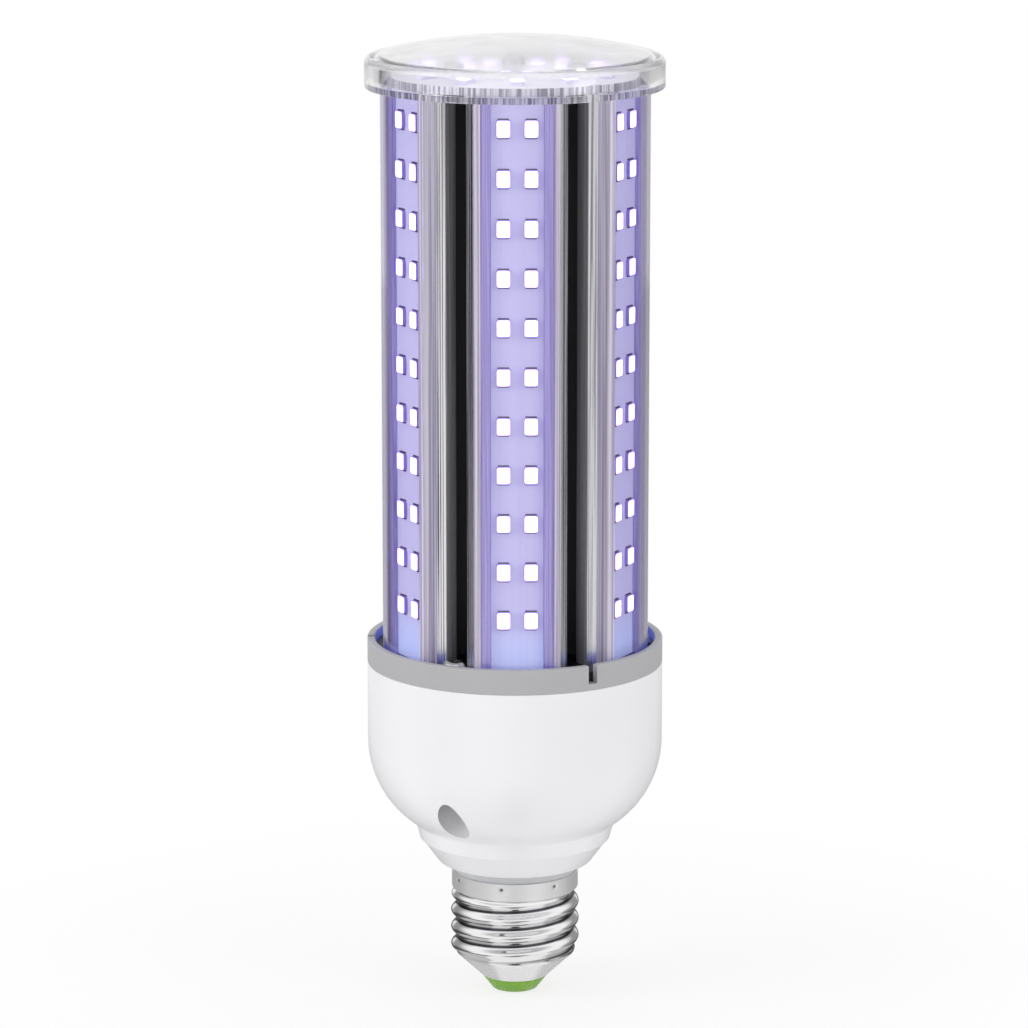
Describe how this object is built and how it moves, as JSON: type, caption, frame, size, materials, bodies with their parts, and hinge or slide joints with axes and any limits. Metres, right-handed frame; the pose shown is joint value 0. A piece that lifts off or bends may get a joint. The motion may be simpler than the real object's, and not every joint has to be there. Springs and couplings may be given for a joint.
{
  "type": "led corn lamp",
  "caption": "Screw-cap ultraviolet LED corn lamp: clear-covered LED strips round a finned aluminium column on a white bowl housing, under a clear domed cap.",
  "frame": {"origin": "lowest point of the centre contact, on the lamp's axis, where the cap meets its holder", "axes": "+Z along the lamp's axis from the screw cap to the domed top; -Y is the strip that faces the viewer"},
  "size_m": [0.06, 0.06, 0.1969],
  "materials": {
    "contact_brass": "satin",
    "insulator_green": "gloss",
    "nickel_plate": "polished",
    "housing_white": "satin gloss",
    "circuit_board": "satin",
    "capacitor_sleeve": "gloss",
    "ferrite": "matte",
    "winding_tape": "satin",
    "chip_black": "matte",
    "fuse_sleeve": "matte",
    "lead_red": "satin",
    "lead_black": "satin",
    "ring_grey": "matte",
    "plate_black": "matte",
    "screw_steel": "satin",
    "heat_sink_aluminium": "satin",
    "board_white": "satin",
    "led_violet": "gloss",
    "clear_plastic": "clear gloss"
  },
  "bodies": {
    "root": {"centre_contact": "contact_brass", "base_insulator": "insulator_green", "screw_shell": "nickel_plate", "housing": "housing_white", "driver_board": "circuit_board", "input_capacitor": "capacitor_sleeve", "output_capacitor": "capacitor_sleeve", "transformer_core": "ferrite", "transformer_winding": "winding_tape", "driver_chip": "chip_black", "bridge_rectifier": "chip_black", "fuse_resistor": "fuse_sleeve", "live_lead": "lead_red", "neutral_lead": "lead_black", "output_leads": "lead_red", "collar_ring": "ring_grey", "mounting_plate": "plate_black", "plate_screws": "screw_steel", "heat_sink": "heat_sink_aluminium", "foot_screws": "screw_steel", "top_led_board": "board_white", "top_leds": "led_violet", "top_board_screws": "screw_steel", "top_cap": "clear_plastic", "strip_board_1": "board_white", "strip_leds_1": "led_violet", "strip_cover_1": "clear_plastic", "strip_board_2": "board_white", "strip_leds_2": "led_violet", "strip_cover_2": "clear_plastic", "strip_board_3": "board_white", "strip_leds_3": "led_violet", "strip_cover_3": "clear_plastic", "strip_board_4": "board_white", "strip_leds_4": "led_violet", "strip_cover_4": "clear_plastic", "strip_board_5": "board_white", "strip_leds_5": "led_violet", "strip_cover_5": "clear_plastic", "strip_board_6": "board_white", "strip_leds_6": "led_violet", "strip_cover_6": "clear_plastic"}
  },
  "joints": []
}
